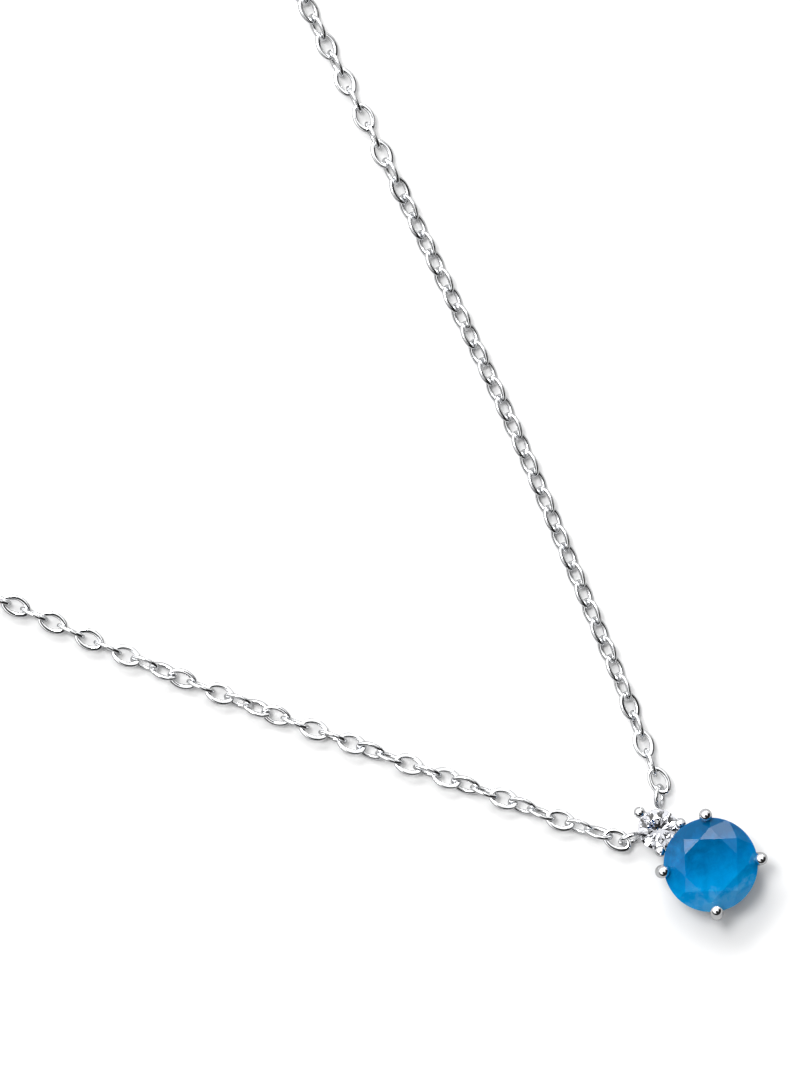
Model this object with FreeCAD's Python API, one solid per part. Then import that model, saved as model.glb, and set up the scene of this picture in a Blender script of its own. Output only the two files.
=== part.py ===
import FreeCAD, Part
import os
from math import asin, atan2, cos, degrees, radians, sin, sqrt

# A pendant necklace, lying open on a table. Millimetres, +Z up out of the large stone's table.
# The origin is the centre of the large setting's base ring, on the table, and +Y points from the
# large stone to the small one. Azimuths are in degrees from +X, counterclockwise seen from above.

# ---- large setting ----
LARGE_RADIUS = 3.5
LARGE_TABLE_RADIUS = 2.08
LARGE_STAR_RADIUS = 2.78
LARGE_CULET_HEIGHT = 0.2
LARGE_GIRDLE_LOW = 3.2
LARGE_GIRDLE_HIGH = 3.36
LARGE_TABLE_HEIGHT = 4.42
LARGE_FACET_AZIMUTH = 13.0
# Azimuth of each prong, and its ball's reach and height: they are bent by hand, so they differ a little.
LARGE_PRONGS = ((40.0, 3.72, 3.84), (132.0, 3.56, 3.9), (221.0, 3.42, 3.98), (311.0, 3.76, 3.82))
LARGE_PRONG_RADIUS = 0.5
LARGE_PRONG_FOOT = 2.75
LARGE_PRONG_SHOULDER = (3.67, 3.35)
LARGE_BALL_RADIUS = 0.48
LARGE_RAIL = (2.62, 1.9, 0.35)
LARGE_BASE_INNER = 1.75
LARGE_BASE_OUTER = 2.55
LARGE_BASE_HEIGHT = 0.7
BASE_EASE = 0.12

# ---- small setting ----
SMALL_CENTRE_Y = 4.66
SMALL_RADIUS = 1.5
SMALL_TABLE_RADIUS = 0.86
SMALL_STAR_RADIUS = 1.16
SMALL_CULET_HEIGHT = 1.06
SMALL_GIRDLE_LOW = 2.33
SMALL_GIRDLE_HIGH = 2.41
SMALL_TABLE_HEIGHT = 2.86
SMALL_FACET_AZIMUTH = 22.5
# Azimuth of each prong and the reach of its ball.
SMALL_PRONGS = ((82.0, 1.9), (-41.0, 1.67), (-141.0, 1.6))
SMALL_PRONG_RADIUS = 0.36
SMALL_PRONG_FOOT = 1.36
SMALL_SHOULDER_HEIGHT = 2.3
SMALL_BALL_RADIUS = 0.43
SMALL_BALL_HEIGHT = 2.66
SMALL_RAIL = (1.28, 1.0, 0.22)
SMALL_BASE_INNER = 0.75
SMALL_BASE_OUTER = 1.3
SMALL_BASE_HEIGHT = 0.45
BRIDGE_RADIUS = 0.38
BRIDGE_HEIGHT = 1.45
BRIDGE_ENDS = (2.7, 3.55)

# ---- eyelets that carry the chain ----
# Azimuth and reach about the small stone, and the lean from upright, of each ring.
EYELETS = {"right": (32.0, 2.42, -18.0), "left": (143.0, 2.16, 18.0)}
EYELET_RADIUS = 0.78
EYELET_WIRE = 0.18
EYELET_HEIGHT = 1.02

# ---- fine cable chain ----
LINK_HALF_LENGTH = 0.955
LINK_HALF_WIDTH = 0.615
LINK_END_RADIUS = 0.45
LINK_WIRE = 0.16
LINK_PITCH = 1.5
# From the eyelet's outer wire to the first link's centre: along the link, and to the left of it.
EYELET_TO_LINK = {"right": (0.36, -0.16), "left": (0.3, 0.0)}
SINGLE_LINKS = 2
RUN_LINKS = 16
RUNS = 8
# Chain lengths from the eyelet and the headings there, which turn evenly from one to the next.
ROUTES = {
    "right": ((0.0, 64.0), (1.5, 54.5), (4.0, 53.4), (10.0, 56.9), (22.0, 56.5), (29.0, 58.4),
              (33.0, 59.5), (46.0, 59.8), (56.0, 61.5), (84.0, 57.0), (100.0, 66.0),
              (124.0, 100.0), (148.0, 122.0), (172.0, 134.0), (196.0, 168.0)),
    "left": ((0.0, 97.0), (1.6, 108.0), (6.0, 102.5), (12.0, 104.4), (24.0, 103.6), (36.0, 102.0),
             (44.0, 98.8), (58.0, 105.0), (84.0, 108.5), (104.0, 108.0), (124.0, 84.0),
             (150.0, 62.0), (176.0, 50.0), (196.0, 28.0)),
}
# Chain lengths and the twist of the chain there: each link also turns a quarter from its neighbour.
TWISTS = {
    "right": ((0.0, 0.0), (9.0, 45.0), (46.0, 45.0), (54.0, 0.0), (66.0, 45.0), (130.0, 45.0),
              (196.0, 0.0)),
    "left": ((0.0, 0.0), (13.5, -250.0), (16.5, -255.0), (21.0, -345.0), (24.0, -350.0),
             (39.0, -530.0), (42.0, -540.0), (70.0, -580.0), (130.0, -600.0), (196.0, -630.0)),
}
END_HEIGHTS = {"right": 1.05, "left": 1.3}
RISING_LINKS = 8
STEEPEST_RISE = 0.12
TABLE_CLEARANCE = 0.02
HOOK_CLEARANCE = 0.06

# ---- clasp, on the left end: X from its eye to its hook, Y across, Z through its thickness ----
JUMP_RING_RADIUS = 1.35
JUMP_RING_WIRE = 0.25
CLASP_HEADING = 24.0
CLASP_THICKNESS = 2.0
CLASP_EDGE = 0.42
EYE_RADIUS = 1.2
EYE_HOLE_RADIUS = 0.7
EYE_THICKNESS = 0.8
CLASP_HEEL = (3.2, 2.0)
CLASP_HEAD = (6.6, 2.5)
OPENING_HEEL = ((4.3, 0.3), 0.7)
OPENING_HEAD = ((6.75, 0.1), 1.38)
PIVOT = (3.0, -1.25)
PIN_RADIUS = 0.3
LEVER_THICKNESS = 0.9
LEVER_REACH = 4.95
SLOT_THICKNESS = 1.0
SLOT = ((1.9, -4.0), (5.0, 0.2))
MOUTH = ((4.75, -4.0), (10.0, -0.4))
MOUTH_CLEARANCE = 0.07
EYE_NECK = ((2.2, 0.0), 1.35)
KNUCKLE_RADIUS = 0.8
PIN_CLEARANCE = 0.02
LEVER_ARM = ((3.0, -0.5), (5.0, -0.98), (8.4, -1.4), (8.4, -2.7), (3.6, -2.7), (2.5, -1.85))
LEVER_INSET = 0.06
THUMB_TAB = (((3.75, -1.9), 0.42), ((3.55, -2.75), 0.36))
LEAF_SPRING = ((1.93, 0.17), (2.3, 0.17), (2.8, -0.3), (2.72, -0.38), (2.24, 0.07), (1.93, 0.07))
LEAF_THICKNESS = 0.72
THROUGH = 3.0

# ---- extender, on the right end ----
END_RING_RADIUS = 1.75
END_RING_WIRE = 0.3
END_RING_HEIGHT = 1.05
EXTENDER_HALF_LENGTH = 1.62
EXTENDER_HALF_WIDTH = 1.12
EXTENDER_END_RADIUS = 0.86
EXTENDER_WIRE = 0.27
EXTENDER_PITCH = 2.62
EXTENDER_RUNS = 2
EXTENDER_RUN_LINKS = 7
EXTENDER_ROUTE = ((0.0, 196.0), (12.0, 240.0), (37.0, 268.0))
EXTENDER_ROLL = 45.0
EXTENDER_SLACK = 0.22
EXTENDER_RISE = 0.1
DROP_RING_RADIUS = 1.05
DROP_RING_WIRE = 0.22
DROP_RADIUS = 1.5
DROP_LENGTH = 5.0
DROP_EYE_RADIUS = 0.62
DROP_EYE_WIRE = 0.2
DROP_THROAT = 0.26
DROP_SHOULDER_ANGLE = 62.0
DROP_FLANK = (0.15, 0.36)

UP = FreeCAD.Vector(0, 0, 1)


def export(shape, name):
    """Write one node to parts/, and stop if it isn't sound."""
    if not shape.isValid() or any(solid.Volume <= 0 for solid in shape.Solids) or not shape.Solids:
        raise RuntimeError(name + " isn't a valid solid")
    shape.exportStep("parts/" + name + ".step")


def polar(radius, azimuth, height, centre_y=0.0):
    """The point at a radius and azimuth about a vertical axis through (0, centre_y)."""
    angle = radians(azimuth)
    return FreeCAD.Vector(radius * cos(angle), centre_y + radius * sin(angle), height)


def level(heading, length):
    """A level step along a heading."""
    return FreeCAD.Vector(length * cos(radians(heading)), length * sin(radians(heading)), 0)


def ring(centre, axis, radius, wire):
    return Part.makeTorus(radius, wire, centre, axis)


def rod(start, end, radius):
    line = end.sub(start)
    return Part.makeCylinder(radius, line.Length, start, line)


def interpolated(table, place):
    """The value at a place in a table of (place, value), straight between its rows."""
    for (low, before), (high, after) in zip(table, table[1:]):
        if place <= high:
            return before + (after - before) * max(0.0, place - low) / (high - low)
    return table[-1][1]


# ---------------------------------------------------------------- stones


def brilliant(radius, table_radius, star_radius, heights, facet_azimuth, centre_y):
    """A round brilliant: table, stars, kites and girdle halves over pavilion mains and halves."""
    culet_z, low_z, high_z, table_z = heights
    outer = radius * 1.01 / cos(radians(11.25))
    crown_slope = (table_z - high_z) / (outer - table_radius)
    pavilion_slope = (low_z - culet_z) / outer
    star_z = table_z - crown_slope * (star_radius * cos(radians(22.5)) - table_radius)
    half_radius = 0.22 * outer
    half_z = culet_z + pavilion_slope * half_radius * cos(radians(22.5))

    def around(count_radius, offset, height):
        return [polar(count_radius, facet_azimuth + offset + 45.0 * k, height, centre_y) for k in range(8)]

    table = around(table_radius, 0.0, table_z)
    stars = around(star_radius, 22.5, star_z)
    halves = around(half_radius, 22.5, half_z)
    culet = FreeCAD.Vector(0, centre_y, culet_z)
    top_main = around(outer, 0.0, high_z)
    top_mid = around(outer, 22.5, high_z)
    low_main = around(outer, 0.0, low_z)
    low_mid = around(outer, 22.5, low_z)
    outlines = [table]
    for k in range(8):
        after = (k + 1) % 8
        outlines.append([table[k], stars[k], table[after]])
        outlines.append([table[k], stars[k - 1], top_main[k], stars[k]])
        outlines.append([stars[k], top_main[k], top_mid[k]])
        outlines.append([stars[k], top_mid[k], top_main[after]])
        outlines.append([top_main[k], low_main[k], low_mid[k], top_mid[k]])
        outlines.append([top_mid[k], low_mid[k], low_main[after], top_main[after]])
        outlines.append([culet, halves[k - 1], low_main[k], halves[k]])
        outlines.append([halves[k], low_main[k], low_mid[k]])
        outlines.append([halves[k], low_mid[k], low_main[after]])
    faces = [Part.Face(Part.makePolygon(points + points[:1])) for points in outlines]
    body = Part.makeSolid(Part.makeShell(faces))
    if body.Volume < 0:
        body.reverse()
    height = table_z - culet_z + 1.0
    girdle = Part.makeCylinder(radius, height, FreeCAD.Vector(0, centre_y, culet_z - 0.5))
    return body.common(girdle).Solids[0]


# ---------------------------------------------------------------- settings


def base_ring(inner, outer, height, centre_y):
    """A flat washer that the setting stands on, with eased edges."""
    profile = Part.makePolygon([
        FreeCAD.Vector(inner, centre_y, 0),
        FreeCAD.Vector(outer, centre_y, 0),
        FreeCAD.Vector(outer, centre_y, height - BASE_EASE),
        FreeCAD.Vector(outer - BASE_EASE, centre_y, height),
        FreeCAD.Vector(inner + BASE_EASE, centre_y, height),
        FreeCAD.Vector(inner, centre_y, height - BASE_EASE),
        FreeCAD.Vector(inner, centre_y, 0),
    ])
    return Part.Face(profile).revolve(FreeCAD.Vector(0, centre_y, 0), UP, 360)


def prong(azimuth, foot_radius, shoulder, wire, ball, ball_radius, centre_y):
    """A wire that leans out from the base ring to the girdle and ends in a ball over the crown."""
    foot = polar(foot_radius, azimuth, 0.0, centre_y)
    top = polar(shoulder[0], azimuth, shoulder[1], centre_y)
    tip = polar(ball[0], azimuth, ball[1], centre_y)
    low = foot.sub(top.sub(foot).multiply(0.3))
    shaft = rod(low, top, wire)
    knuckle = Part.makeSphere(wire, top)
    neck = rod(top, tip, 0.95 * wire)
    solid = shaft.fuse([knuckle, neck, Part.makeSphere(ball_radius, tip)])
    below = Part.makeBox(20, 20, 5, FreeCAD.Vector(-10, centre_y - 10, -5))
    return solid.cut(below)


def settings():
    """The pendant's nodes: two stones, their rails, base rings, prongs, the bridge and the eyelets."""
    large_heights = (LARGE_CULET_HEIGHT, LARGE_GIRDLE_LOW, LARGE_GIRDLE_HIGH, LARGE_TABLE_HEIGHT)
    small_heights = (SMALL_CULET_HEIGHT, SMALL_GIRDLE_LOW, SMALL_GIRDLE_HIGH, SMALL_TABLE_HEIGHT)
    large_stone = brilliant(
        LARGE_RADIUS, LARGE_TABLE_RADIUS, LARGE_STAR_RADIUS, large_heights, LARGE_FACET_AZIMUTH, 0.0)
    small_stone = brilliant(
        SMALL_RADIUS, SMALL_TABLE_RADIUS, SMALL_STAR_RADIUS, small_heights, SMALL_FACET_AZIMUTH,
        SMALL_CENTRE_Y)
    nodes = {"blue_stone": large_stone, "clear_stone": small_stone}

    large_prongs = []
    for number, (azimuth, reach, height) in enumerate(LARGE_PRONGS, 1):
        solid = prong(azimuth, LARGE_PRONG_FOOT, LARGE_PRONG_SHOULDER, LARGE_PRONG_RADIUS,
                      (reach, height), LARGE_BALL_RADIUS, 0.0)
        large_prongs.append(solid.cut(large_stone))
        nodes["large_prong_%d" % number] = large_prongs[-1]
    small_prongs = []
    for number, (azimuth, reach) in enumerate(SMALL_PRONGS, 1):
        solid = prong(azimuth, SMALL_PRONG_FOOT, (reach, SMALL_SHOULDER_HEIGHT), SMALL_PRONG_RADIUS,
                      (reach, SMALL_BALL_HEIGHT), SMALL_BALL_RADIUS, SMALL_CENTRE_Y)
        small_prongs.append(solid.cut(small_stone))
        nodes["small_prong_%d" % number] = small_prongs[-1]

    rail_radius, rail_height, rail_wire = LARGE_RAIL
    large_rail = ring(FreeCAD.Vector(0, 0, rail_height), UP, rail_radius, rail_wire)
    nodes["large_gallery_rail"] = large_rail.cut(large_prongs)
    large_base = base_ring(LARGE_BASE_INNER, LARGE_BASE_OUTER, LARGE_BASE_HEIGHT, 0.0)
    nodes["large_base_ring"] = large_base.cut(large_prongs)
    rail_radius, rail_height, rail_wire = SMALL_RAIL
    small_rail = ring(FreeCAD.Vector(0, SMALL_CENTRE_Y, rail_height), UP, rail_radius, rail_wire)
    nodes["small_gallery_rail"] = small_rail.cut(small_prongs)
    small_base = base_ring(SMALL_BASE_INNER, SMALL_BASE_OUTER, SMALL_BASE_HEIGHT, SMALL_CENTRE_Y)
    nodes["small_base_ring"] = small_base.cut(small_prongs)

    bridge = rod(FreeCAD.Vector(0, BRIDGE_ENDS[0], BRIDGE_HEIGHT),
                 FreeCAD.Vector(0, BRIDGE_ENDS[1], BRIDGE_HEIGHT), BRIDGE_RADIUS)
    nodes["solder_bridge"] = bridge.cut([large_rail, small_rail, large_stone, small_stone])

    for side, (azimuth, reach, lean) in EYELETS.items():
        centre = polar(reach, azimuth, EYELET_HEIGHT, SMALL_CENTRE_Y)
        across = polar(cos(radians(lean)), azimuth + 90.0, sin(radians(lean)))
        eyelet = ring(centre, across, EYELET_RADIUS, EYELET_WIRE)
        nodes[side + "_eyelet"] = eyelet.cut(small_rail)
    return nodes


# ---------------------------------------------------------------- chain


def oval_link(half_length, half_width, end_radius, wire):
    """A link lying in the XY plane, long in X: two end arcs and two side arcs of round wire."""
    side_radius = (half_length ** 2 + half_width ** 2 - 2 * half_length * end_radius) / (
        2 * (half_width - end_radius))
    end_x = half_length - end_radius
    meet = degrees(atan2(side_radius - half_width, end_x))
    pieces = []
    for turn in (0.0, 180.0):
        at_end = Part.Face(Part.Wire(Part.makeCircle(
            wire, FreeCAD.Vector(half_length, 0, 0), FreeCAD.Vector(0, 1, 0))))
        end = at_end.copy()
        end.rotate(FreeCAD.Vector(end_x, 0, 0), UP, -meet)
        end = end.revolve(FreeCAD.Vector(end_x, 0, 0), UP, 2 * meet)
        at_side = Part.Face(Part.Wire(Part.makeCircle(
            wire, FreeCAD.Vector(0, half_width, 0), FreeCAD.Vector(1, 0, 0))))
        side_centre = FreeCAD.Vector(0, half_width - side_radius, 0)
        side = at_side.copy()
        side.rotate(side_centre, UP, meet - 90.0)
        side = side.revolve(side_centre, UP, 180.0 - 2 * meet)
        for piece in (end, side):
            piece.rotate(FreeCAD.Vector(0, 0, 0), UP, turn)
            pieces.append(piece)
    return pieces[0].fuse(pieces[1:]).Solids[0]


def link_roll(side, index):
    """How far a link is turned about the chain: a quarter turn from its neighbour, and the twist."""
    return interpolated(TWISTS[side], index * LINK_PITCH) + 90.0 * (index % 2)


def resting_height(side, index):
    """The height of the chain's middle where this link, or the one a quarter turn on, lies on the table."""
    twist = radians(interpolated(TWISTS[side], index * LINK_PITCH))
    return LINK_WIRE + TABLE_CLEARANCE + LINK_HALF_WIDTH * max(abs(sin(twist)), abs(cos(twist)))


def chain_points(side):
    """The points where the links of one side meet, from the eyelet to the last link's free end."""
    count = SINGLE_LINKS + RUNS * RUN_LINKS
    azimuth, reach, _ = EYELETS[side]
    forward, leftward = EYELET_TO_LINK[side]
    heading = ROUTES[side][0][1]
    wire = polar(reach + EYELET_RADIUS, azimuth, EYELET_HEIGHT, SMALL_CENTRE_Y)
    points = [wire.add(level(heading, forward - LINK_PITCH / 2)).add(level(heading + 90.0, leftward))]
    for index in range(count):
        height = max(resting_height(side, index), resting_height(side, index + 1))
        near_end = 1.0 - (count - 1 - index) / RISING_LINKS
        height += max(0.0, near_end) * (END_HEIGHTS[side] - height)
        if index == 0:
            height = EYELET_HEIGHT
        rise = max(-STEEPEST_RISE, min(STEEPEST_RISE, height - points[-1].z))
        step = sqrt(LINK_PITCH ** 2 - rise ** 2)
        heading = interpolated(ROUTES[side], index * LINK_PITCH)
        points.append(points[-1].add(level(heading, step)).add(FreeCAD.Vector(0, 0, rise)))
    return points


def placed(shape, centre, direction, roll):
    """A copy of a shape whose X goes along direction, turned about it by roll degrees."""
    heading = degrees(atan2(direction.y, direction.x))
    dip = -degrees(asin(direction.z / direction.Length))
    copy = shape.copy()
    copy.Placement = FreeCAD.Placement(centre, FreeCAD.Rotation(heading, dip, roll))
    return copy


def links_along(link, points, rolls):
    """A link between each point and the next, each with its own roll."""
    links = []
    for start, end, roll in zip(points, points[1:], rolls):
        links.append(placed(link, start.add(end).multiply(0.5), end.sub(start), roll))
    return links


def chain(side):
    """One side of the chain: single links next to the pendant, then runs of interlocked links."""
    link = oval_link(LINK_HALF_LENGTH, LINK_HALF_WIDTH, LINK_END_RADIUS, LINK_WIRE)
    points = chain_points(side)
    links = links_along(link, points, [link_roll(side, k) for k in range(len(points) - 1)])
    nodes = {}
    for k in range(SINGLE_LINKS):
        nodes["%s_link_%d" % (side, k + 1)] = links[k]
    for run in range(RUNS):
        first = SINGLE_LINKS + run * RUN_LINKS
        nodes["%s_chain_run_%d" % (side, run + 1)] = Part.makeCompound(links[first:first + RUN_LINKS])
    return nodes


def hooked(points, half_length, pitch, gap):
    """Where the next ring's near wire lies inside the last link, and the direction the chain ends in."""
    direction = points[-1].sub(points[-2]).normalize()
    tip = points[-1].add(FreeCAD.Vector(direction).multiply(half_length - pitch / 2))
    return tip.sub(FreeCAD.Vector(direction).multiply(gap + HOOK_CLEARANCE)), direction


# ---------------------------------------------------------------- clasp


def jump_ring_centre():
    """The centre of the upright ring that joins the chain's left end to the clasp's eye."""
    near, _ = hooked(chain_points("left"), LINK_HALF_LENGTH, LINK_PITCH, LINK_WIRE + JUMP_RING_WIRE)
    height = JUMP_RING_RADIUS + JUMP_RING_WIRE + TABLE_CLEARANCE
    drop = height - near.z
    inward = sqrt(JUMP_RING_RADIUS ** 2 - drop ** 2)
    centre = near.add(level(CLASP_HEADING, inward))
    centre.z = height
    return centre


def clasp_frame():
    """The clasp's place: the far side of the jump ring goes through its eye, and it lies on its side."""
    centre = jump_ring_centre()
    eye_height = CLASP_THICKNESS / 2 + 0.01
    below = centre.z - eye_height + EYE_THICKNESS / 2
    above = centre.z - eye_height - EYE_THICKNESS / 2
    reaches = [sqrt(JUMP_RING_RADIUS ** 2 - offset ** 2) for offset in (below, above)]
    eye = centre.add(level(CLASP_HEADING, sum(reaches) / 2))
    eye.z = eye_height
    return FreeCAD.Placement(eye, FreeCAD.Rotation(CLASP_HEADING, 0, 0))


def capsule(start, start_radius, end, end_radius, thickness):
    """A plate round two circles and their outer tangents, centred on Z."""
    angle = degrees(atan2(end[1] - start[1], end[0] - start[0]))
    distance = sqrt((end[0] - start[0]) ** 2 + (end[1] - start[1]) ** 2)
    lean = (start_radius - end_radius) / distance
    side = sqrt(1 - lean ** 2)
    low = FreeCAD.Vector(0, 0, -thickness / 2)

    def point(x, radius, along, across):
        return FreeCAD.Vector(x + radius * along, radius * across, 0)

    left = [point(0, start_radius, lean, side), point(0, start_radius, -1, 0),
            point(0, start_radius, lean, -side)]
    right = [point(distance, end_radius, lean, -side), point(distance, end_radius, 1, 0),
             point(distance, end_radius, lean, side)]
    edges = [
        Part.Arc(*left).toShape(),
        Part.LineSegment(left[2], right[0]).toShape(),
        Part.Arc(*right).toShape(),
        Part.LineSegment(right[2], left[0]).toShape(),
    ]
    plate = Part.Face(Part.Wire(edges)).extrude(FreeCAD.Vector(0, 0, thickness))
    plate.Placement = FreeCAD.Placement(
        FreeCAD.Vector(start[0], start[1], 0).add(low), FreeCAD.Rotation(angle, 0, 0))
    return plate


def block(low, high, thickness):
    """A plate over a rectangle, centred on Z."""
    return Part.makeBox(high[0] - low[0], high[1] - low[1], thickness,
                        FreeCAD.Vector(low[0], low[1], -thickness / 2))


def disc(centre, radius, thickness):
    return Part.makeCylinder(radius, thickness, FreeCAD.Vector(centre[0], centre[1], -thickness / 2))


def plate(outline, thickness):
    """A plate over a polygon, centred on Z."""
    points = [FreeCAD.Vector(x, y, -thickness / 2) for x, y in outline]
    return Part.Face(Part.makePolygon(points + points[:1])).extrude(FreeCAD.Vector(0, 0, thickness))


def clasp_body():
    """The lobster claw: a rounded plate with an eye, an opening, a mouth and a slot for the lever."""
    claw = capsule((CLASP_HEEL[0], 0), CLASP_HEEL[1], (CLASP_HEAD[0], 0), CLASP_HEAD[1], CLASP_THICKNESS)
    rims = [edge for edge in claw.Edges if abs(edge.BoundBox.ZLength) < 1e-6]
    claw = claw.makeFillet(CLASP_EDGE, rims)
    eye = capsule((0, 0), EYE_RADIUS, *EYE_NECK, EYE_THICKNESS)
    opening = capsule(*OPENING_HEEL, *OPENING_HEAD, THROUGH)
    mouth = disc(PIVOT, LEVER_REACH + MOUTH_CLEARANCE, THROUGH).common(block(*MOUTH, THROUGH))
    slot = block(*SLOT, SLOT_THICKNESS)
    return claw.fuse(eye).cut([
        disc((0, 0), EYE_HOLE_RADIUS, THROUGH), opening, mouth, slot, disc(PIVOT, PIN_RADIUS, THROUGH)])


def clasp_lever():
    """The gate: a knuckle on the pin, an arm that closes the mouth and a thumb tab."""
    arm = plate(LEVER_ARM, LEVER_THICKNESS)
    claw = capsule((CLASP_HEEL[0], 0), CLASP_HEEL[1] - LEVER_INSET,
                   (CLASP_HEAD[0], 0), CLASP_HEAD[1] - LEVER_INSET, THROUGH)
    arm = arm.common(disc(PIVOT, LEVER_REACH, THROUGH)).common(claw)
    tab = capsule(*THUMB_TAB[0], *THUMB_TAB[1], LEVER_THICKNESS)
    knuckle = disc(PIVOT, KNUCKLE_RADIUS, LEVER_THICKNESS)
    return arm.fuse([knuckle, tab]).cut(disc(PIVOT, PIN_RADIUS + PIN_CLEARANCE, THROUGH))


def clasp_spring():
    """A bent leaf held in the slot, whose free end bears on the lever's knuckle."""
    return plate(LEAF_SPRING, LEAF_THICKNESS)


def clasp():
    """The jump ring and the clasp's four pieces."""
    frame = clasp_frame()
    pieces = {
        "clasp_body": clasp_body(),
        "clasp_lever": clasp_lever(),
        "clasp_pin": disc(PIVOT, PIN_RADIUS, CLASP_THICKNESS - PIN_CLEARANCE),
        "clasp_spring": clasp_spring(),
    }
    for piece in pieces.values():
        piece.Placement = frame.multiply(piece.Placement)
    across = level(CLASP_HEADING + 90.0, 1.0)
    pieces["clasp_jump_ring"] = ring(jump_ring_centre(), across, JUMP_RING_RADIUS, JUMP_RING_WIRE)
    return pieces


# ---------------------------------------------------------------- extender


def end_ring_centre():
    """The centre of the flat ring on the chain's right end, which the clasp also closes on."""
    near, direction = hooked(
        chain_points("right"), LINK_HALF_LENGTH, LINK_PITCH, LINK_WIRE + END_RING_WIRE)
    heading = degrees(atan2(direction.y, direction.x))
    centre = near.add(level(heading, END_RING_RADIUS))
    centre.z = END_RING_HEIGHT
    return centre


def extender_points():
    """The points where the extender's links meet, from the end ring to the drop's ring."""
    heading = EXTENDER_ROUTE[0][1]
    gap = EXTENDER_WIRE + END_RING_WIRE + EXTENDER_SLACK
    overlap = EXTENDER_HALF_LENGTH - EXTENDER_PITCH / 2
    height = EXTENDER_WIRE + TABLE_CLEARANCE + EXTENDER_HALF_WIDTH * sin(radians(EXTENDER_ROLL))
    points = [end_ring_centre().add(level(heading, END_RING_RADIUS - gap + overlap))]
    for index in range(EXTENDER_RUNS * EXTENDER_RUN_LINKS):
        rise = min(EXTENDER_RISE, height - points[-1].z)
        step = sqrt(EXTENDER_PITCH ** 2 - rise ** 2)
        heading = interpolated(EXTENDER_ROUTE, index * EXTENDER_PITCH)
        points.append(points[-1].add(level(heading, step)).add(FreeCAD.Vector(0, 0, rise)))
    return points


def drop_ring_centre():
    """The centre of the small ring that carries the drop, and the way the extender ends."""
    near, direction = hooked(
        extender_points(), EXTENDER_HALF_LENGTH, EXTENDER_PITCH, EXTENDER_WIRE + DROP_RING_WIRE)
    return near.add(direction.multiply(DROP_RING_RADIUS)), EXTENDER_ROUTE[-1][1]


def drop_shape():
    """A teardrop along X from its eye, with the eye's ring in the XY plane."""
    start = DROP_EYE_RADIUS
    neck = FreeCAD.Vector(start, 0, 0)
    centre_x = start + DROP_LENGTH - DROP_RADIUS
    lean = radians(DROP_SHOULDER_ANGLE)
    shoulder = FreeCAD.Vector(centre_x - DROP_RADIUS * cos(lean), DROP_RADIUS * sin(lean), 0)
    widest = FreeCAD.Vector(centre_x, DROP_RADIUS, 0)
    end = FreeCAD.Vector(centre_x + DROP_RADIUS, 0, 0)
    throat = FreeCAD.Vector(start, DROP_THROAT, 0)
    flank = FreeCAD.Vector((start + shoulder.x) / 2 + DROP_FLANK[0],
                           DROP_THROAT + DROP_FLANK[1] * (shoulder.y - DROP_THROAT), 0)
    edges = [
        Part.LineSegment(neck, throat).toShape(),
        Part.Arc(throat, flank, shoulder).toShape(),
        Part.Arc(shoulder, widest, end).toShape(),
        Part.LineSegment(end, neck).toShape(),
    ]
    body = Part.Face(Part.Wire(edges)).revolve(FreeCAD.Vector(0, 0, 0), FreeCAD.Vector(1, 0, 0), 360)
    eye = ring(FreeCAD.Vector(0, 0, 0), UP, DROP_EYE_RADIUS, DROP_EYE_WIRE)
    return body.fuse(eye)


def drop_frame():
    """The drop's place: its eye on the far side of its ring, its belly on the table."""
    centre, heading = drop_ring_centre()
    reach = DROP_RING_RADIUS + DROP_EYE_RADIUS - DROP_RING_WIRE - DROP_EYE_WIRE - HOOK_CLEARANCE
    eye = centre.add(level(heading, reach))
    slope = degrees(asin((DROP_RADIUS + 0.01 - eye.z) / (DROP_EYE_RADIUS + DROP_LENGTH - DROP_RADIUS)))
    return eye, level(heading, cos(radians(slope))).add(FreeCAD.Vector(0, 0, sin(radians(slope))))


def extender():
    """The end ring, two runs of larger links, and a drop on its own ring."""
    link = oval_link(EXTENDER_HALF_LENGTH, EXTENDER_HALF_WIDTH, EXTENDER_END_RADIUS, EXTENDER_WIRE)
    points = extender_points()
    rolls = [EXTENDER_ROLL * (-1) ** k for k in range(len(points) - 1)]
    links = links_along(link, points, rolls)
    nodes = {"extender_end_ring": ring(end_ring_centre(), UP, END_RING_RADIUS, END_RING_WIRE)}
    for run in range(EXTENDER_RUNS):
        first = run * EXTENDER_RUN_LINKS
        nodes["extender_run_%d" % (run + 1)] = Part.makeCompound(links[first:first + EXTENDER_RUN_LINKS])
    flat_ring = ring(FreeCAD.Vector(0, 0, 0), UP, DROP_RING_RADIUS, DROP_RING_WIRE)
    centre, heading = drop_ring_centre()
    nodes["drop_ring"] = placed(flat_ring, centre, level(heading, 1.0), EXTENDER_ROLL)
    eye, direction = drop_frame()
    nodes["end_drop"] = placed(drop_shape(), eye, direction, -EXTENDER_ROLL)
    return nodes


def main():
    os.makedirs("parts", exist_ok=True)
    for made in (settings(), chain("left"), chain("right"), clasp(), extender()):
        for name, shape in made.items():
            export(shape, name)


if __name__ == "__main__":
    main()
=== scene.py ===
import math

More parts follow.
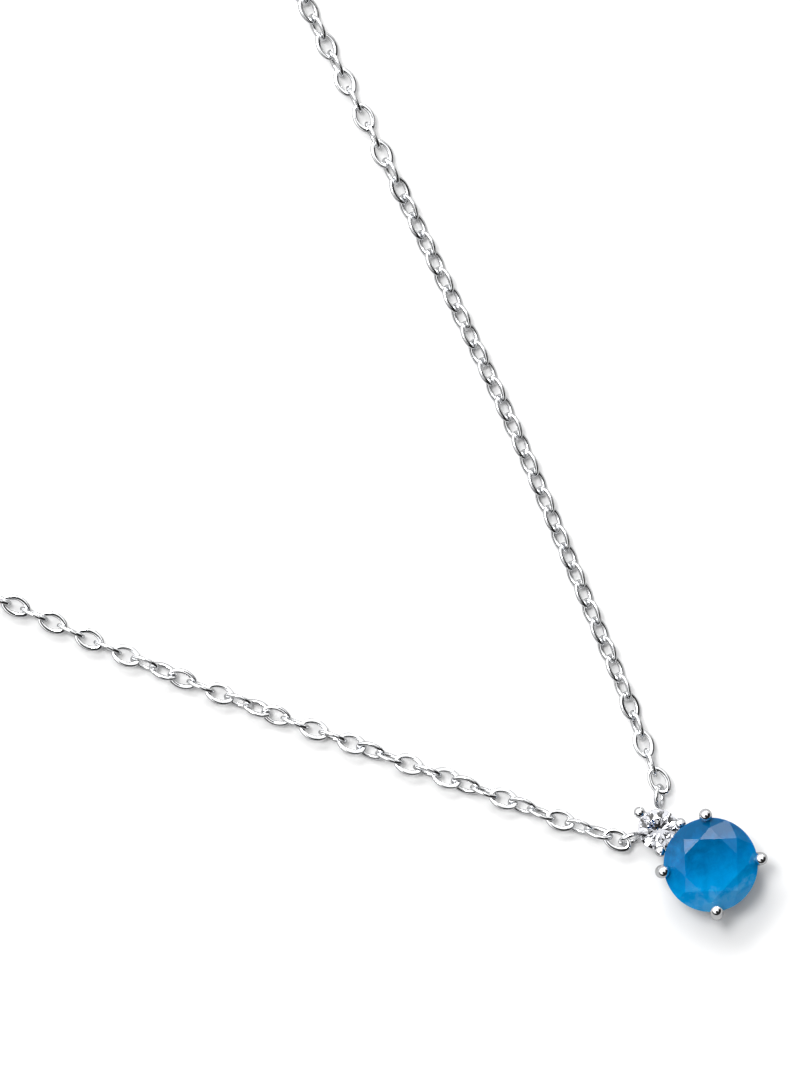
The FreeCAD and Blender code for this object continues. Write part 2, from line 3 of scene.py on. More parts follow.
import bmesh
import bpy
import numpy as np
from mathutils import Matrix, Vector


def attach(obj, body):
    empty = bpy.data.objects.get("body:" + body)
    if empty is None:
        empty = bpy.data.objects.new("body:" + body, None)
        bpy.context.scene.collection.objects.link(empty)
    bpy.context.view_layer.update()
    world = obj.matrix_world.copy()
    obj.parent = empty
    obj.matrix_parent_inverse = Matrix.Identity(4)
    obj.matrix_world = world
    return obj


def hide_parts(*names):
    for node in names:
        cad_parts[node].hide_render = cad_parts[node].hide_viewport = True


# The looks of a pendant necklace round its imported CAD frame. The scene is in metres, in the CAD's own frame:
# +Z up out of the blue stone's table facet, +Y from the blue stone to the clear one, the table top at z = 0.
# The sizes of stones, wires and links below are in millimetres, and angles are in degrees.

MM = 0.001

# ---- the view: from straight above, with this azimuth at the top of the picture ----
VIEW_CENTRE = (7.39 * MM, 32.78 * MM)
VIEW_UP_AZIMUTH = 34.0
VIEW_TALL = 79.55 * MM
CAMERA_HEIGHT = 1.4
CAMERA_CLIP = (0.01, 20.0)
SENSOR_TALL = 24.0

# ---- stones: the radius of the girdle, table and stars, the turn, and heights from culet to table ----
BLUE_CUT = {"radius": 3.5, "table": 2.08, "star": 2.78, "turn": 13.0, "culet": 0.2, "low": 3.2,
            "high": 3.36, "top": 4.42, "centre_y": 0.0}
CLEAR_CUT = {"radius": 1.5, "table": 0.86, "star": 1.16, "turn": 22.5, "culet": 1.06, "low": 2.33,
             "high": 2.41, "top": 2.86, "centre_y": 4.66}
GIRDLE_STEPS = 192
FACETS_ROUND = 8
FACET_TURN = 360.0 / FACETS_ROUND
# Facets meet just outside the girdle, so that they leave no gap round it.
FACETS_MEET_AT = 1.01
# How far out from the culet the lower girdle facets end, as a part of the radius.
LOWER_FACETS_END = 0.22
# How much taller the cylinder that a stone is cut from is than twice the stone.
CUT_FROM_SPARE = 2
CUT_TOLERANCE = 1e-6
MERGE_CORNERS = 2e-4

# ---- prongs: what a setting's prongs share (wire and ball are radii), then each one's azimuth, the reach of
# its shoulder, and the reach and height of its ball ----
LARGE_SETTING = {
    "centre_y": BLUE_CUT["centre_y"], "foot": 2.75, "shoulder_height": 3.35, "wire": 0.5, "ball": 0.48,
    "prongs": [(40.0, 3.67, (3.72, 3.84)), (132.0, 3.67, (3.56, 3.9)), (221.0, 3.67, (3.42, 3.98)),
               (311.0, 3.67, (3.76, 3.82))]}
SMALL_SETTING = {
    "centre_y": CLEAR_CUT["centre_y"], "foot": 1.36, "shoulder_height": 2.3, "wire": 0.36, "ball": 0.43,
    "prongs": [(82.0, 1.9, (1.9, 2.66)), (-41.0, 1.67, (1.67, 2.66)), (-141.0, 1.6, (1.6, 2.66))]}
PRONG_SIDES = 40
SHAFT_STEPS = 12
# The neck runs from the shoulder to the ball's middle: where it starts on that way, and how much it thins.
NECK_STEPS = 10
NECK_START = 0.12
NECK_TAPER = 0.1
# The ball's upper half, from its middle to near its top.
CAP_STEPS = 12
CAP_TURNS = (8, 88)

# ---- eyelets: azimuth and reach about the clear stone, and the lean from upright; then what both share ----
EYELETS = {"right": (32.0, 2.42, -18.0), "left": (143.0, 2.16, 18.0)}
EYELET_HEIGHT = 1.02
EYELET_RADIUS = 0.78
EYELET_WIRE = 0.18

# ---- rings: the radius of each ring's wire ----
RING_WIRES = {"clasp_jump_ring": 0.25, "extender_end_ring": 0.3, "drop_ring": 0.22}
RING_STEPS = 112
RING_SIDES = 32

# ---- links: the wire's middle line, its own half section, and the steps of the mesh ----
FINE_LINK = {"half_length": 0.955, "half_width": 0.615, "end_radius": 0.45, "wide": 0.184, "thick": 0.145,
             "squareness": 2.7, "steps_end": 14, "steps_side": 9, "steps_section": 20}
LARGE_LINK = {"half_length": 1.62, "half_width": 1.12, "end_radius": 0.86, "wide": 0.27, "thick": 0.27,
              "squareness": 2.2, "steps_end": 16, "steps_side": 10, "steps_section": 24}
LINKS_AT_PENDANT = 2
CHAIN_RUNS = 8
EXTENDER_RUNS = 2
# Corners of a CAD mesh nearer than this are one corner.
WELD = 1e-7

CAST_NODES = ("large_gallery_rail", "large_base_ring", "small_gallery_rail", "small_base_ring",
              "solder_bridge", "clasp_body", "clasp_lever", "clasp_pin", "clasp_spring", "end_drop")
# How far tumbling has rounded the corners of the cast pieces.
WORN_EDGE = 0.09 * MM

# ---- colours ----
PLATING_SHADED = (0.80, 0.81, 0.83, 1)
PLATING_BRIGHT = (0.90, 0.905, 0.91, 1)
# The blue stone's colours, which its clouds and its painted glow run through.
BLUE_TONES_AND_GLOW = [(0.15, (0.0, 0.088, 0.224, 1)), (0.5, (0.0, 0.168, 0.42, 1)),
               (0.82, (0.0, 0.265, 0.59, 1)), (1.0, (0.06, 0.32, 0.62, 1))]
# The blue stone's colour is painted brighter towards this azimuth, a painted glow of light shining through it,
# and runs through its colours at this rate per metre.
BLUE_PAINTED_GLOW_TOWARDS = 232.0
BLUE_PAINTED_GLOW_RATE = 150.0
BLUE_CLOUDS = 0.75
BLUE_WISPS = 0.3
CLEAR_TINT = (0.74, 0.75, 0.8, 1)
TABLE_TOP_COLOUR = (0.93, 0.93, 0.93, 1)

# ---- the table top ----
FLOOR_HALF = 1.5
# It is this far below z = 0, so that no face of the necklace lies in it.
FLOOR_DROP = 0.00002
# How much of the table top polished metal doesn't reflect.
FLOOR_DIMMING = 0.52

# ---- the studio's sky: brightness against how far a direction leans, from -1, away, to 1, towards ----
DARK = 0.02
OVERHEAD = (0, 0, 1)
ROOF_STOPS = [(-1, 1.4), (0.988, 1.4), (0.994, DARK)]
WALL_TOWARDS = (VIEW_UP_AZIMUTH + 20.0, 0)
WALL_STOPS = [(-1, DARK), (0.1, DARK), (0.3, 0.95), (1, 0.95)]
ROOF_TOWARDS = (VIEW_UP_AZIMUTH + 75.0, 72.0)
ROOF_EDGE = [(-1, 0.0), (0.57, 0.0), (0.63, 1.0), (1, 1.0)]
FLAG_TOWARDS = (VIEW_UP_AZIMUTH - 164.0, 66.0)
FLAG_STOPS = [(-1, 1.0), (0.906, 1.0), (0.927, DARK), (1, DARK)]
# How much of the sky's soft light matt surfaces don't get, so that the lamps cast the closer shadows.
SKY_DIMMING = 0.3

# ---- lamps: azimuth, elevation, size in metres and power in watts ----
LAMPS = {"key": (58.0, 46.8, (0.56, 0.2), 3.2), "kicker": (13.0, 20.4, (0.16, 0.16), 0.5),
         "spot": (80.0, 74.0, (0.2, 0.2), 2.6)}
LAMP_DISTANCE = 0.8

# The Mix node's sockets for colours.
MIX_FACTOR, MIX_FIRST, MIX_SECOND, MIX_RESULT = 0, 6, 7, 2

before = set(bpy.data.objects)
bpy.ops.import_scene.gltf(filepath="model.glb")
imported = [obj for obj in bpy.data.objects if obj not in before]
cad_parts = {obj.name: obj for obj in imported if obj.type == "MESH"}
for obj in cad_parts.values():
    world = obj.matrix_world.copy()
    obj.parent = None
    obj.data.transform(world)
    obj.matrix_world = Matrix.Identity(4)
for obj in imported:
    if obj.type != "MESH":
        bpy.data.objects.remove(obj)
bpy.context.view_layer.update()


# ---------------------------------------------------------------- helpers


def new_piece(name, verts, faces, body, node, material, smooth=True):
    """A mesh object that rides on a body, stands in for a CAD node, which it hides, and takes a material."""
    mesh = bpy.data.meshes.new(name)
    mesh.from_pydata([tuple(v) for v in verts], [], [tuple(f) for f in faces])
    mesh.update()
    shape = bmesh.new()
    shape.from_mesh(mesh)
    bmesh.ops.recalc_face_normals(shape, faces=shape.faces)
    shape.to_mesh(mesh)
    shape.free()
    mesh.polygons.foreach_set("use_smooth", [smooth] * len(mesh.polygons))
    piece = bpy.data.objects.new(name, mesh)
    bpy.context.scene.collection.objects.link(piece)
    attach(piece, body)
    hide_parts(node)
    mesh.materials.append(material)


def polar(radius, azimuth, height, centre_y=0.0):
    """A point at an azimuth round an axis that stands at centre_y; millimetres in, metres out."""
    angle = math.radians(azimuth)
    return np.array((radius * math.cos(angle), centre_y + radius * math.sin(angle), height)) * MM


def swept(path, radii, sides, closed=False):
    """Vertices and faces of a round tube along a path, capped flat at its ends unless it is closed."""
    path = np.asarray(path, float)
    count = len(path)
    if closed:
        tangents = np.roll(path, -1, 0) - np.roll(path, 1, 0)
    else:
        tangents = np.gradient(path, axis=0)
    tangents /= np.linalg.norm(tangents, axis=1)[:, None]
    off_the_path = (0.31, 0.22, 0.93)
    across = np.cross(tangents[0], off_the_path)
    across /= np.linalg.norm(across)
    turns = np.arange(sides) * 2 * math.pi / sides
    verts = []
    for point, tangent, radius in zip(path, tangents, radii):
        across = across - tangent * np.dot(across, tangent)
        across /= np.linalg.norm(across)
        other = np.cross(tangent, across)
        verts += [point + radius * (math.cos(t) * across + math.sin(t) * other) for t in turns]
    faces = []
    for row in range(count if closed else count - 1):
        after = (row + 1) % count
        for k in range(sides):
            n = (k + 1) % sides
            faces.append((row * sides + k, row * sides + n, after * sides + n, after * sides + k))
    if not closed:
        faces.append(tuple(range(sides))[::-1])
        faces.append(tuple((count - 1) * sides + k for k in range(sides)))
    return verts, faces


def circle(centre, axis, radius, steps):
    """Points round a circle about an axis."""
    axis = np.asarray(axis, float) / np.linalg.norm(axis)
    off_the_axis = (0.3, 0.2, 0.9)
    first = np.cross(axis, off_the_axis)
    first /= np.linalg.norm(first)
    second = np.cross(axis, first)
    turns = np.arange(steps) * 2 * math.pi / steps
    return [np.asarray(centre) + radius * (math.cos(t) * first + math.sin(t) * second) for t in turns]


def islands(node):
    """The separate solids of a CAD node: for each, its triangles' corners as an (n, 3, 3) array."""
    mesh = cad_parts[node].data
    mesh.calc_loop_triangles()
    points = np.zeros(len(mesh.vertices) * 3)
    mesh.vertices.foreach_get("co", points)
    points = points.reshape(-1, 3)
    corners = np.zeros(len(mesh.loop_triangles) * 3, int)
    mesh.loop_triangles.foreach_get("vertices", corners)
    corners = corners.reshape(-1, 3)
    _, same = np.unique(np.round(points / WELD).astype(np.int64), axis=0, return_inverse=True)
    same = same.reshape(-1)
    welded = same[corners]
    label = np.arange(same.max() + 1)
    while True:
        lowest = label[welded].min(axis=1)
        after = label.copy()
        for column in range(3):
            np.minimum.at(after, welded[:, column], lowest)
        after = after[after]
        if np.array_equal(after, label):
            break
        label = after
    owner = label[welded[:, 0]]
    return [points[corners[owner == one]] for one in np.unique(owner)]


def place_of(triangles):
    """A solid's centre and its long, middle and short axes, from its surface's second moments."""
    cross = np.cross(triangles[:, 1] - triangles[:, 0], triangles[:, 2] - triangles[:, 0])
    areas = np.linalg.norm(cross, axis=1)
    middles = triangles.mean(axis=1)
    centre = (middles * areas[:, None]).sum(axis=0) / areas.sum()
    offset = middles - centre
    _, axes = np.linalg.eigh((offset * areas[:, None]).T @ offset)
    long_axis = axes[:, 2]
    short_axis = axes[:, 0]
    return centre, long_axis, np.cross(short_axis, long_axis), short_axis


# ---------------------------------------------------------------- materials


def node_material(name):
    material = bpy.data.materials.new(name)
    material.use_nodes = True
    tree = material.node_tree
    return material, tree, tree.nodes["Principled BSDF"]


def noise(tree, scale, detail, distortion=0.0):
    """A noise texture on the object's own coordinates, in metres."""
    where = tree.nodes.new("ShaderNodeTexCoord")
    texture = tree.nodes.new("ShaderNodeTexNoise")
    texture.inputs["Scale"].default_value = scale
    texture.inputs["Detail"].default_value = detail
    texture.inputs["Distortion"].default_value = distortion
    tree.links.new(where.outputs["Object"], texture.inputs["Vector"])
    return texture.outputs["Fac"]


def ramp(tree, source, stops):
    node = tree.nodes.new("ShaderNodeValToRGB")
    node.color_ramp.elements[0].position = stops[0][0]
    node.color_ramp.elements[0].color = stops[0][1]
    node.color_ramp.elements[1].position = stops[-1][0]
    node.color_ramp.elements[1].color = stops[-1][1]
    for position, colour in stops[1:-1]:
        node.color_ramp.elements.new(position).color = colour
    tree.links.new(source, node.inputs["Fac"])
    return node.outputs["Color"]


def grey(value):
    return (value, value, value, 1.0)


def scaled_sum(tree, source, factor, addend):
    """source x factor + addend, where the addend is a number or another node's output."""
    node = tree.nodes.new("ShaderNodeMath")
    node.operation = "MULTIPLY_ADD"
    node.inputs[1].default_value = factor
    tree.links.new(source, node.inputs[0])
    if isinstance(addend, float):
        node.inputs[2].default_value = addend
    else:
        tree.links.new(addend, node.inputs[2])
    return node.outputs[0]


def bump(tree, source, distance, strength):
    node = tree.nodes.new("ShaderNodeBump")
    node.inputs["Distance"].default_value = distance
    node.inputs["Strength"].default_value = strength
    tree.links.new(source, node.inputs["Height"])
    return node


def white_metal(name, worn_edge=0.0):
    """Rhodium-plated silver: bright, faintly uneven, with a trace of polishing marks and soft corners."""
    material, tree, shader = node_material(name)
    shader.inputs["Metallic"].default_value = 1.0
    tarnish = noise(tree, scale=900.0, detail=4.0)
    colour = ramp(tree, tarnish, [(0.3, PLATING_SHADED), (0.7, PLATING_BRIGHT)])
    tree.links.new(colour, shader.inputs["Base Color"])
    polish = noise(tree, scale=5200.0, detail=3.0)
    rough = ramp(tree, polish, [(0.3, grey(0.045)), (0.75, grey(0.11))])
    tree.links.new(rough, shader.inputs["Roughness"])
    waves = noise(tree, scale=2600.0, detail=2.0, distortion=0.6)
    surface = bump(tree, waves, distance=0.02 * MM, strength=0.35)
    if worn_edge:
        corner = tree.nodes.new("ShaderNodeBevel")
        corner.inputs["Radius"].default_value = worn_edge
        tree.links.new(corner.outputs["Normal"], surface.inputs["Normal"])
    tree.links.new(surface.outputs["Normal"], shader.inputs["Normal"])
    return material


def spring_metal():
    """Rolled spring strip, greyer and duller than the plating."""
    material, tree, shader = node_material("spring_strip")
    shader.inputs["Metallic"].default_value = 1.0
    grain = noise(tree, scale=4000.0, detail=2.0)
    tree.links.new(ramp(tree, grain, [(0.3, grey(0.42)), (0.7, grey(0.56))]), shader.inputs["Base Color"])
    shader.inputs["Roughness"].default_value = 0.3
    return material


def cloudy_blue_painted_glow():
    """A milky azure stone: soft clouds and a painted glow, brighter on one side and darker on the other, under
    a glassy polish.
    """
    material, tree, shader = node_material("cloudy_blue_painted_glow")
    clouds = noise(tree, scale=420.0, detail=5.0, distortion=1.2)
    wisps = noise(tree, scale=1500.0, detail=4.0, distortion=2.0)
    # Painted glow: the colour runs from dark to bright towards one azimuth, as light shining through the stone
    # would.
    where = tree.nodes.new("ShaderNodeTexCoord")
    across = tree.nodes.new("ShaderNodeMapping")
    across.inputs["Rotation"].default_value = (0, 0, math.radians(-BLUE_PAINTED_GLOW_TOWARDS))
    across.inputs["Scale"].default_value = (BLUE_PAINTED_GLOW_RATE, BLUE_PAINTED_GLOW_RATE, BLUE_PAINTED_GLOW_RATE)
    tree.links.new(where.outputs["Object"], across.inputs["Vector"])
    split = tree.nodes.new("ShaderNodeSeparateXYZ")
    tree.links.new(across.outputs["Vector"], split.inputs["Vector"])
    # The clouds and wisps are added onto the painted glow, and together they pick the colour.
    clouds_and_glow = scaled_sum(tree, clouds, BLUE_CLOUDS, split.outputs["X"])
    depth = scaled_sum(tree, wisps, BLUE_WISPS, clouds_and_glow)
    tree.links.new(ramp(tree, depth, BLUE_TONES_AND_GLOW), shader.inputs["Base Color"])
    shader.inputs["Roughness"].default_value = 0.08
    shader.inputs["IOR"].default_value = 1.6
    shader.inputs["Specular IOR Level"].default_value = 0.16
    shader.inputs["Subsurface Weight"].default_value = 0.8
    shader.inputs["Subsurface Radius"].default_value = (0.3, 0.7, 1.0)
    shader.inputs["Subsurface Scale"].default_value = 0.0012
    return material


def clear_gem():
    """A colourless stone of high index, with the faintest haze on its polish."""
    material, tree, shader = node_material("clear_gem")
    shader.inputs["Base Color"].default_value = CLEAR_TINT
    shader.inputs["Transmission Weight"].default_value = 1.0
    shader.inputs["IOR"].default_value = 2.15
    # The exported model can take this plain value in place of the haze.
    # A plain roughness under the haze, which the haze's link overrides.
    shader.inputs["Roughness"].default_value = 0.0
    haze = noise(tree, scale=3000.0, detail=2.0)
    tree.links.new(ramp(tree, haze, [(0.4, grey(0.0)), (0.8, grey(0.02))]), shader.inputs["Roughness"])
    return material


def paper_white():
    """The pale table top, which shows dimmer in the polished metal than to the eye."""
    material, tree, shader = node_material("table_top")
    shader.inputs["Base Color"].default_value = TABLE_TOP_COLOUR
    shader.inputs["Roughness"].default_value = 0.7
    shader.inputs["Specular IOR Level"].default_value = 0.1
    path = tree.nodes.new("ShaderNodeLightPath")
    dim = tree.nodes.new("ShaderNodeMath")
    dim.operation = "MULTIPLY"
    dim.inputs[1].default_value = FLOOR_DIMMING
    tree.links.new(path.outputs["Is Glossy Ray"], dim.inputs[0])
    black = tree.nodes.new("ShaderNodeEmission")
    black.inputs["Strength"].default_value = 0.0
    mix = tree.nodes.new("ShaderNodeMixShader")
    tree.links.new(dim.outputs[0], mix.inputs[0])
    tree.links.new(shader.outputs[0], mix.inputs[1])
    tree.links.new(black.outputs[0], mix.inputs[2])
    tree.links.new(mix.outputs[0], tree.nodes["Material Output"].inputs["Surface"])
    return material


METAL = white_metal("white_metal")
CAST_METAL = white_metal("cast_white_metal", WORN_EDGE)
SPRING = spring_metal()
BLUE = cloudy_blue_painted_glow()
CLEAR = clear_gem()


# ---------------------------------------------------------------- stones


def facet_planes(cut):
    """The planes of a round brilliant as (normal, distance), in millimetres about the stone's own axis."""
    outer = cut["radius"] * FACETS_MEET_AT / math.cos(math.radians(FACET_TURN / 4))
    crown_slope = (cut["top"] - cut["high"]) / (outer - cut["table"])
    pavilion_slope = (cut["low"] - cut["culet"]) / outer
    reach = math.cos(math.radians(FACET_TURN / 2))

    def at(radius, azimuth, height):
        angle = math.radians(azimuth + cut["turn"])
        return np.array((radius * math.cos(angle), radius * math.sin(angle), height))

    def through(a, b, c):
        normal = np.cross(b - a, c - a)
        normal /= np.linalg.norm(normal)
        middle = np.array((0, 0, (cut["low"] + cut["high"]) / 2))
        if np.dot(normal, a - middle) < 0:
            normal = -normal
        return normal, float(np.dot(normal, a))

    star_z = cut["top"] - crown_slope * (cut["star"] * reach - cut["table"])
    lower_end = LOWER_FACETS_END * outer
    lower_end_z = cut["culet"] + pavilion_slope * lower_end * reach
    culet = np.array((0, 0, cut["culet"]))
    planes = [(np.array((0.0, 0.0, 1.0)), cut["top"])]
    for k in range(FACETS_ROUND):
        here = FACET_TURN * k
        before, middle, after = here - FACET_TURN / 2, here + FACET_TURN / 2, here + FACET_TURN
        table, table_after = at(cut["table"], here, cut["top"]), at(cut["table"], after, cut["top"])
        star, star_before = at(cut["star"], middle, star_z), at(cut["star"], before, star_z)
        high, high_middle, high_after = (at(outer, azimuth, cut["high"]) for azimuth in (here, middle, after))
        low, low_middle, low_after = (at(outer, azimuth, cut["low"]) for azimuth in (here, middle, after))
        inner = at(lower_end, middle, lower_end_z)
        planes += [
            through(table, star, table_after), through(table, star_before, high),
            through(star, high, high_middle), through(star, high_middle, high_after),
            through(culet, inner, low), through(inner, low, low_middle),
            through(inner, low_middle, low_after)]
    return planes


def stone(name, cut, node, material):
    """A brilliant with crisp facets, cut from a finely stepped cylinder by its planes."""
    shape = bmesh.new()
    bmesh.ops.create_cone(
        shape, cap_ends=True, segments=GIRDLE_STEPS, radius1=cut["radius"], radius2=cut["radius"],
        depth=2 * cut["top"] + CUT_FROM_SPARE)
    for normal, distance in facet_planes(cut):
        everything = list(shape.verts) + list(shape.edges) + list(shape.faces)
        made = bmesh.ops.bisect_plane(
            shape, geom=everything, dist=CUT_TOLERANCE, plane_co=normal * distance, plane_no=normal,
            clear_outer=True)
        edges = [e for e in made["geom_cut"] if isinstance(e, bmesh.types.BMEdge)]
        if edges:
            bmesh.ops.contextual_create(shape, geom=edges)
    bmesh.ops.remove_doubles(shape, verts=shape.verts, dist=MERGE_CORNERS)
    verts = [np.array((v.co.x, v.co.y + cut["centre_y"], v.co.z)) * MM for v in shape.verts]
    shape.verts.index_update()
    faces = [[v.index for v in f.verts] for f in shape.faces]
    shape.free()
    new_piece(name, verts, faces, "pendant", node, material, smooth=False)


# ---------------------------------------------------------------- settings


def prong_piece(name, node, setting, azimuth, shoulder_reach, ball_place):
    """A wire prong: a straight shaft, a shoulder at the girdle and a ball over the crown."""
    centre_y, wire, ball_radius = setting["centre_y"], setting["wire"], setting["ball"]
    foot = polar(setting["foot"], azimuth, 0.0, centre_y)
    top = polar(shoulder_reach, azimuth, setting["shoulder_height"], centre_y)
    tip = polar(ball_place[0], azimuth, ball_place[1], centre_y)
    shaft = [foot + (top - foot) * t for t in np.linspace(0, 1, SHAFT_STEPS)]
    radii = [wire * MM] * SHAFT_STEPS
    length = np.linalg.norm(tip - top)
    up = (tip - top) / length
    neck = []
    for t in np.linspace(NECK_START, 1, NECK_STEPS):
        neck.append(top + up * length * t)
        below = length * (1 - t)
        bead = math.sqrt(max((ball_radius * MM) ** 2 - below ** 2, 0.0))
        radii.append(max(bead, wire * MM * (1 - NECK_TAPER * t)) if t < 1 else ball_radius * MM)
    cap = []
    for angle in np.linspace(*CAP_TURNS, CAP_STEPS):
        turn = math.radians(angle)
        cap.append(tip + up * ball_radius * MM * math.sin(turn))
        radii.append(ball_radius * MM * math.cos(turn))
    verts, faces = swept(shaft + neck + cap, radii, PRONG_SIDES)
    for vertex in verts:
        vertex[2] = max(vertex[2], 0.0)
    new_piece(name, verts, faces, "pendant", node, METAL)


def ring_piece(node, body, centre, axis, radius, wire):
    path = circle(centre, axis, radius, RING_STEPS)
    verts, faces = swept(path, [wire] * RING_STEPS, RING_SIDES, closed=True)
    new_piece(node + "_smooth", verts, faces, body, node, METAL)


def ring_like(node, wire):
    """A smooth ring of that wire in the place of a CAD ring, found from its mesh."""
    triangles = np.concatenate(islands(node))
    centre, long_axis, _, short_axis = place_of(triangles)
    reach = np.abs((triangles.reshape(-1, 3) - centre) @ long_axis).max()
    ring_piece(node, node, centre, short_axis, reach - wire, wire)


# ---------------------------------------------------------------- links


def link_middle_line(link):
    """The oval's middle line, four arcs that meet smoothly: points and outward normals in its own plane."""
    a, b, end = link["half_length"], link["half_width"], link["end_radius"]
    side = (a * a + b * b - 2 * a * end) / (2 * (b - end))
    meet = math.atan2(side - b, a - end)
    arcs = [((a - end, 0), end, -meet, meet, link["steps_end"]),
            ((0, b - side), side, meet, math.pi - meet, link["steps_side"]),
            ((end - a, 0), end, math.pi - meet, math.pi + meet, link["steps_end"]),
            ((0, side - b), side, math.pi + meet, 2 * math.pi - meet, link["steps_side"])]
    points = []
    for (cx, cy), radius, start, stop, steps in arcs:
        for turn in np.linspace(start, stop, steps, endpoint=False):
            outward = (math.cos(turn), math.sin(turn))
            points.append(((cx + radius * outward[0], cy + radius * outward[1]), outward))
    return points


def link_template(link):
    """Vertices and faces of one link: flattened wire with soft corners."""
    line = link_middle_line(link)
    rows, steps, power = len(line), link["steps_section"], 2 / link["squareness"]
    verts = []
    for (x, y), (nx, ny) in line:
        for k in range(steps):
            turn = 2 * math.pi * k / steps
            c, s = math.cos(turn), math.sin(turn)
            across = link["wide"] * math.copysign(abs(c) ** power, c)
            over = link["thick"] * math.copysign(abs(s) ** power, s)
            verts.append((x + across * nx, y + across * ny, over))
    faces = []
    for row in range(rows):
        after = (row + 1) % rows
        for k in range(steps):
            n = (k + 1) % steps
            faces.append((row * steps + k, after * steps + k, after * steps + n, row * steps + n))
    return np.array(verts) * MM, np.array(faces)


def chain_piece(node, template):
    """All of a node's links as one piece, each link where its CAD solid is; node and body share a name."""
    shape_verts, shape_faces = template
    verts, faces = [], []
    for solid in islands(node):
        centre, *axes = place_of(solid)
        faces.append(shape_faces + len(verts) * len(shape_verts))
        verts.append(shape_verts @ np.stack(axes) + centre)
    new_piece(node + "_links", np.concatenate(verts), np.concatenate(faces), node, node, METAL)


# ---------------------------------------------------------------- the object


def build_pendant():
    stone("blue_brilliant", BLUE_CUT, "blue_stone", BLUE)
    stone("clear_brilliant", CLEAR_CUT, "clear_stone", CLEAR)
    for size, setting in (("large", LARGE_SETTING), ("small", SMALL_SETTING)):
        for number, prong in enumerate(setting["prongs"], 1):
            node = "%s_prong_%d" % (size, number)
            prong_piece(node + "_wire", node, setting, *prong)


def build_eyelets():
    for side, (azimuth, reach, lean) in EYELETS.items():
        centre = polar(reach, azimuth, EYELET_HEIGHT, CLEAR_CUT["centre_y"])
        axis = polar(math.cos(math.radians(lean)), azimuth + 90.0, math.sin(math.radians(lean)))
        ring_piece(side + "_eyelet", "pendant", centre, axis, EYELET_RADIUS * MM, EYELET_WIRE * MM)


def build_chains():
    fine = link_template(FINE_LINK)
    for side in ("left", "right"):
        for number in range(1, LINKS_AT_PENDANT + 1):
            chain_piece("%s_link_%d" % (side, number), fine)
        for number in range(1, CHAIN_RUNS + 1):
            chain_piece("%s_chain_run_%d" % (side, number), fine)
    large = link_template(LARGE_LINK)
    for number in range(1, EXTENDER_RUNS + 1):
        chain_piece("extender_run_%d" % number, large)


def build_rings():
    for node, wire in RING_WIRES.items():
        ring_like(node, wire * MM)


def finish_cad_nodes():
    """The CAD nodes that stay get their metal, with worn corners on the cast pieces."""
    for name in CAST_NODES:
        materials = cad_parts[name].data.materials
        materials.clear()
        materials.append(SPRING if name == "clasp_spring" else CAST_METAL)


# ---------------------------------------------------------------- stage


def build_camera():
    data = bpy.data.cameras.new("camera")
    data.sensor_fit = "VERTICAL"
    data.sensor_height = SENSOR_TALL
    data.lens = SENSOR_TALL * CAMERA_HEIGHT / VIEW_TALL
    data.clip_start, data.clip_end = CAMERA_CLIP
    camera = bpy.data.objects.new("camera", data)
    camera.location = (*VIEW_CENTRE, CAMERA_HEIGHT)
    camera.rotation_euler = (0, 0, math.radians(VIEW_UP_AZIMUTH - 90.0))
    bpy.context.scene.collection.objects.link(camera)
    bpy.context.scene.camera = camera


def build_floor():
    half = FLOOR_HALF
    corners = [(-half, -half, 0), (half, -half, 0), (half, half, 0), (-half, half, 0)]
    mesh = bpy.data.meshes.new("table_top")
    mesh.from_pydata(corners, [], [(0, 1, 2, 3)])
    floor = bpy.data.objects.new("table_top", mesh)
    floor.location = (*VIEW_CENTRE, -FLOOR_DROP)
    bpy.context.scene.collection.objects.link(floor)
    mesh.materials.append(paper_white())


def facing(azimuth, elevation):
    """The unit vector towards an azimuth and an elevation."""
    flat = math.cos(math.radians(elevation))
    return (flat * math.cos(math.radians(azimuth)), flat * math.sin(math.radians(azimuth)),
            math.sin(math.radians(elevation)))


def softbox(name, azimuth, elevation, size, power):
    """A rectangular soft light that looks at the view's centre from an azimuth and an elevation."""
    data = bpy.data.lights.new(name, "AREA")
    data.shape = "RECTANGLE"
    data.size, data.size_y = size
    data.energy = power
    lamp = bpy.data.objects.new(name, data)
    target = (*VIEW_CENTRE, 0)
    lamp.location = [c + LAMP_DISTANCE * f for c, f in zip(target, facing(azimuth, elevation))]
    lamp.rotation_euler = (Vector(target) - lamp.location).to_track_quat("-Z", "Y").to_euler()
    bpy.context.scene.collection.objects.link(lamp)


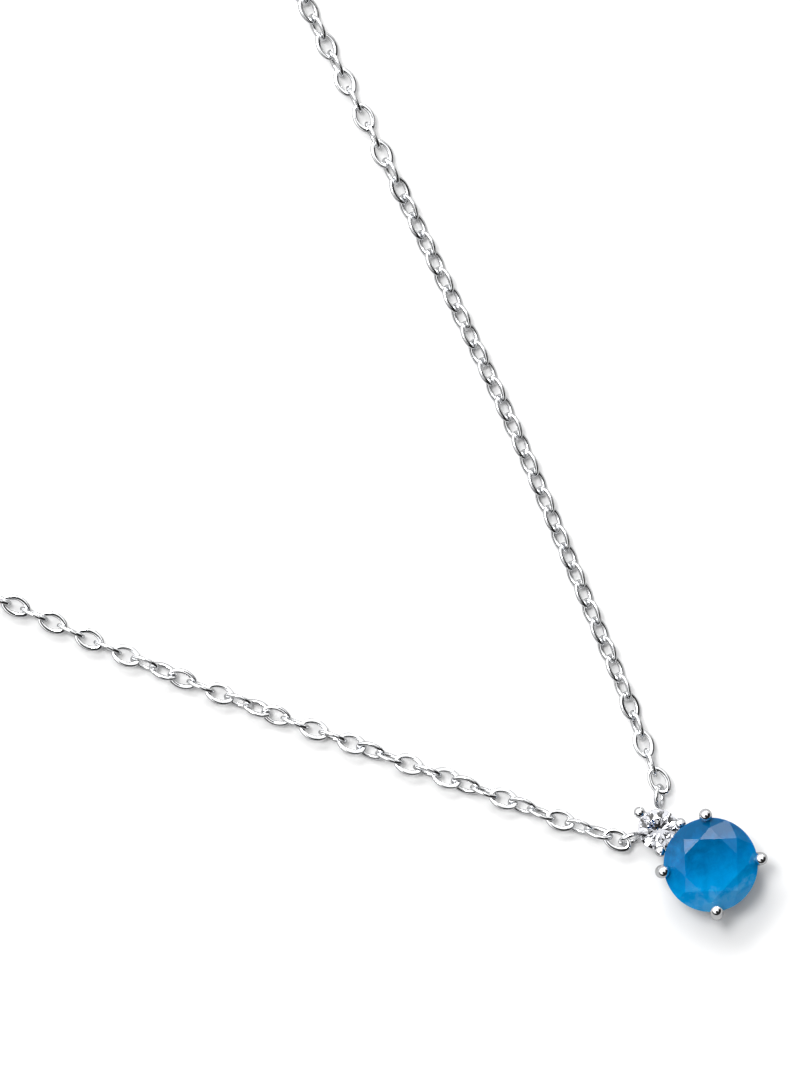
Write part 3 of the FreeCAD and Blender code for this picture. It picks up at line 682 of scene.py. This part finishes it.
def sky_part(tree, direction, vector, stops):
    """A ramp of greys over how far the sky's direction leans along a vector, from -1 to 1."""
    lean = tree.nodes.new("ShaderNodeVectorMath")
    lean.operation = "DOT_PRODUCT"
    lean.inputs[1].default_value = vector
    tree.links.new(direction, lean.inputs[0])
    halved = scaled_sum(tree, lean.outputs["Value"], 0.5, 0.5)
    return ramp(tree, halved, [((place + 1) / 2, grey(value)) for place, value in stops])


def mixed(tree, first, second, mask=None):
    """The first colour blended into the second by a mask, or with no mask the two multiplied."""
    mix = tree.nodes.new("ShaderNodeMix")
    mix.data_type = "RGBA"
    if mask is None:
        mix.blend_type = "MULTIPLY"
        mix.inputs[MIX_FACTOR].default_value = 1.0
    else:
        tree.links.new(mask, mix.inputs[MIX_FACTOR])
    tree.links.new(first, mix.inputs[MIX_FIRST])
    tree.links.new(second, mix.inputs[MIX_SECOND])
    return mix.outputs[MIX_RESULT]


def build_sky():
    """A bright roof with a dark spot right overhead and a dark flag beside it, over walls lit on one side."""
    world = bpy.data.worlds.new("studio")
    bpy.context.scene.world = world
    world.use_nodes = True
    tree = world.node_tree
    direction = tree.nodes.new("ShaderNodeTexCoord").outputs["Generated"]
    roof = sky_part(tree, direction, OVERHEAD, ROOF_STOPS)
    walls = sky_part(tree, direction, facing(*WALL_TOWARDS), WALL_STOPS)
    under_roof = sky_part(tree, direction, facing(*ROOF_TOWARDS), ROOF_EDGE)
    flag = sky_part(tree, direction, facing(*FLAG_TOWARDS), FLAG_STOPS)
    sky = mixed(tree, walls, roof, under_roof)
    background = tree.nodes["Background"]
    tree.links.new(mixed(tree, sky, flag), background.inputs["Color"])
    path = tree.nodes.new("ShaderNodeLightPath")
    strength = scaled_sum(tree, path.outputs["Is Diffuse Ray"], -SKY_DIMMING, 1.0)
    tree.links.new(strength, background.inputs["Strength"])


def build_light():
    build_sky()
    for name, lamp in LAMPS.items():
        softbox(name, *lamp)
    bpy.context.scene.view_settings.view_transform = "Standard"


build_camera()
build_floor()
build_light()
build_pendant()
build_eyelets()
build_chains()
build_rings()
finish_cad_nodes()
